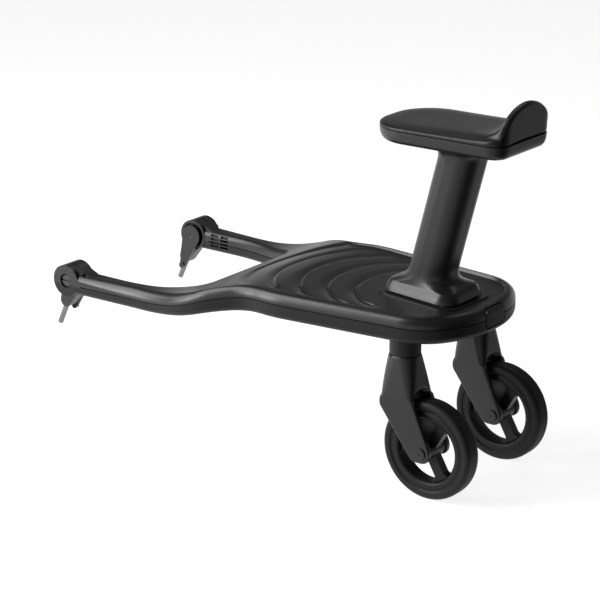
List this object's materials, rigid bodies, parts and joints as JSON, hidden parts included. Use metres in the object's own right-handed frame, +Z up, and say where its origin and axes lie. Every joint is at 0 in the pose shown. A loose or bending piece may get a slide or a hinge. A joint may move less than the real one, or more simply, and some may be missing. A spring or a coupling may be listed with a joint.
{
  "type": "buggy board",
  "caption": "Ride-on platform with a saddle on a leaning post, swivelling caster wheels at the back and two forward arms ending in pivoting pin couplings for a pushchair.",
  "frame": {"origin": "on the floor, under the middle of the overall length and width", "axes": "+X forward along the arms to the pushchair, +Y to the left, +Z up"},
  "size_m": [0.7156, 0.3244, 0.5432],
  "materials": {
    "black_plastic": "satin",
    "rim_plastic": "satin",
    "bearing_plastic": "smooth",
    "tyre": "matte",
    "pad": "fine grain",
    "steel": "bright"
  },
  "bodies": {
    "board": {"deck_upper_shell": "black_plastic", "deck_lower_shell": "black_plastic", "shell_screws": "steel", "seat_receiver": "black_plastic", "receiver_screws": "steel", "release_spring": "steel", "seat_post": "black_plastic", "saddle_shell": "black_plastic", "saddle_screws": "steel", "saddle_pad": "pad", "left_swivel_bushes": "bearing_plastic", "left_swivel_washer": "bearing_plastic", "left_pivot_bolt": "steel", "left_pivot_nut": "steel", "right_swivel_bushes": "bearing_plastic", "right_swivel_washer": "bearing_plastic", "right_pivot_bolt": "steel", "right_pivot_nut": "steel"},
    "release": {"release_button": "black_plastic", "release_latch": "black_plastic"},
    "left_caster": {"left_fork": "black_plastic", "left_swivel_stem": "steel", "left_stem_clip": "steel", "left_axle": "steel", "left_axle_caps": "black_plastic"},
    "left_wheel": {"left_wheel_rim": "rim_plastic", "left_tyre": "tyre", "left_wheel_bushes": "bearing_plastic"},
    "left_coupling": {"left_coupling_drum": "black_plastic", "left_coupling_pin": "steel"},
    "left_lever": {"left_release_lever": "black_plastic"},
    "right_caster": {"right_fork": "black_plastic", "right_swivel_stem": "steel", "right_stem_clip": "steel", "right_axle": "steel", "right_axle_caps": "black_plastic"},
    "right_wheel": {"right_wheel_rim": "rim_plastic", "right_tyre": "tyre", "right_wheel_bushes": "bearing_plastic"},
    "right_coupling": {"right_coupling_drum": "black_plastic", "right_coupling_pin": "steel"},
    "right_lever": {"right_release_lever": "black_plastic"}
  },
  "joints": [
    {"name": "left_swivel", "type": "hinge", "parent": "board", "child": "left_caster", "pos_m": [-0.23029, 0.089, 0.198], "axis": [0, 0, 1], "continuous": true},
    {"name": "left_wheel_spin", "type": "hinge", "parent": "left_caster", "child": "left_wheel", "pos_m": [-0.27429, 0.089, 0.07], "axis": [0, 1, 0], "continuous": true},
    {"name": "left_coupling_pivot", "type": "hinge", "parent": "board", "child": "left_coupling", "pos_m": [0.31871, 0.13765, 0.21], "axis": [0, -1, 0], "range_deg": [-10, 65]},
    {"name": "left_lever_pivot", "type": "hinge", "parent": "left_coupling", "child": "left_lever", "pos_m": [0.31871, 0.1263, 0.21], "axis": [0, -1, 0], "range_deg": [0, 20], "stiffness_Nm_per_rad": 0.4, "springref_deg": -11.46},
    {"name": "right_swivel", "type": "hinge", "parent": "board", "child": "right_caster", "pos_m": [-0.23029, -0.089, 0.198], "axis": [0, 0, 1], "continuous": true},
    {"name": "right_wheel_spin", "type": "hinge", "parent": "right_caster", "child": "right_wheel", "pos_m": [-0.27429, -0.089, 0.07], "axis": [0, 1, 0], "continuous": true},
    {"name": "right_coupling_pivot", "type": "hinge", "parent": "board", "child": "right_coupling", "pos_m": [0.31871, -0.13765, 0.21], "axis": [0, -1, 0], "range_deg": [-10, 65]},
    {"name": "right_lever_pivot", "type": "hinge", "parent": "right_coupling", "child": "right_lever", "pos_m": [0.31871, -0.1263, 0.21], "axis": [0, -1, 0], "range_deg": [0, 20], "stiffness_Nm_per_rad": 0.4, "springref_deg": -11.46},
    {"name": "seat_release", "type": "slide", "parent": "board", "child": "release", "axis": [1, 0, 0], "range_m": [0, 0.005], "stiffness_N_per_m": 1500, "springref_m": -0.003, "deforming": ["release_spring"]}
  ]
}
